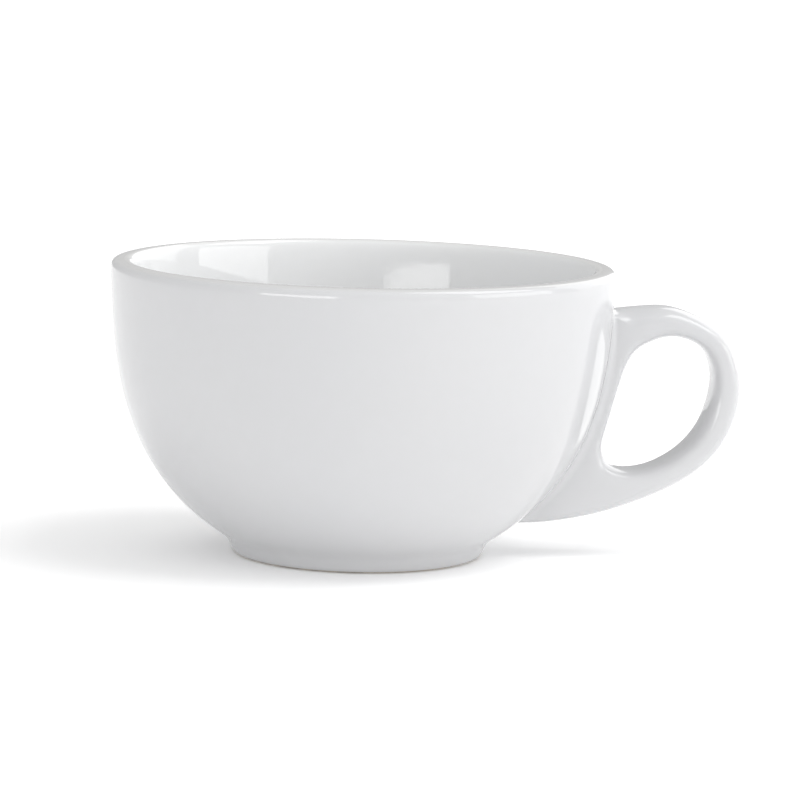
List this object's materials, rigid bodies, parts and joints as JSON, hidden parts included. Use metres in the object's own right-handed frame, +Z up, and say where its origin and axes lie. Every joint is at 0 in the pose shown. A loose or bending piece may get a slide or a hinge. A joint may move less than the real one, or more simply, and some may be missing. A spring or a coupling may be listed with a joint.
{
  "type": "cappuccino cup",
  "caption": "Wide, low porcelain coffee cup with a rolled lip, a short foot ring and a closed ring handle whose web runs down the wall.",
  "frame": {"origin": "centre of the foot's tread, on the table that the cup stands on", "axes": "+Z up along the axis of the bowl, +X out through the middle of the handle"},
  "size_m": [0.1324, 0.105, 0.061],
  "materials": {
    "porcelain": "matt",
    "slip": "matt",
    "inside_glaze": "gloss",
    "outside_glaze": "gloss",
    "handle_glaze": "gloss"
  },
  "bodies": {
    "root": {"bowl": "porcelain", "foot_ring": "porcelain", "handle": "porcelain", "handle_slip": "slip", "inner_glaze": "inside_glaze", "outer_glaze": "outside_glaze", "base_glaze": "outside_glaze", "handle_glaze": "handle_glaze"}
  },
  "joints": []
}
